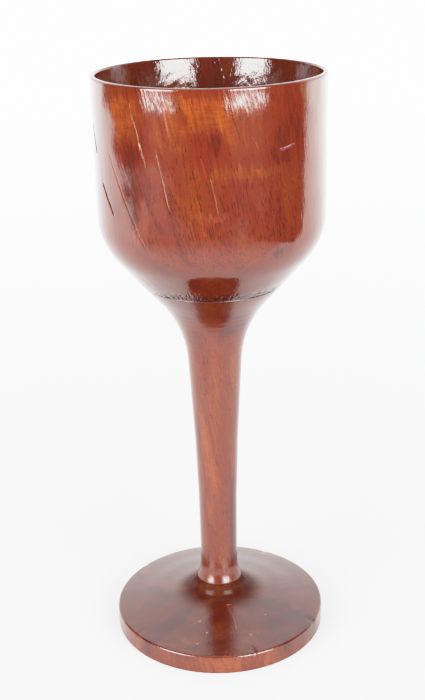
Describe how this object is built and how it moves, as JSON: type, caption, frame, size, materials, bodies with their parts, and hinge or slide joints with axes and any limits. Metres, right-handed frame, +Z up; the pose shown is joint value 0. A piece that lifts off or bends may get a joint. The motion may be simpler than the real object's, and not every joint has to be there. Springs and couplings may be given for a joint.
{
  "type": "communion chalice",
  "caption": "Turned wooden communion chalice: an open-topped round bowl on a slender tapering stem and a flat disc foot, glued together on round spigots.",
  "frame": {"origin": "centre of the foot's underside, on the surface that the chalice stands on", "axes": "+Z up along the turning axis, from the foot to the bowl's mouth; -Y faces the front, where the short filled crack is"},
  "size_m": [0.0756, 0.0756, 0.2],
  "materials": {
    "varnished_wood_bowl": "gloss varnish",
    "varnished_wood_stem": "gloss varnish",
    "varnished_wood_foot": "gloss varnish",
    "glue": "hardened wood glue",
    "crack_filler": "sanded filler under varnish"
  },
  "bodies": {
    "root": {"bowl": "varnished_wood_bowl", "stem": "varnished_wood_stem", "foot": "varnished_wood_foot", "bowl_joint_glue": "glue", "foot_joint_glue": "glue", "crack_filler_rim": "crack_filler", "crack_filler_long": "crack_filler", "crack_filler_short": "crack_filler", "crack_filler_front": "crack_filler"}
  },
  "joints": []
}
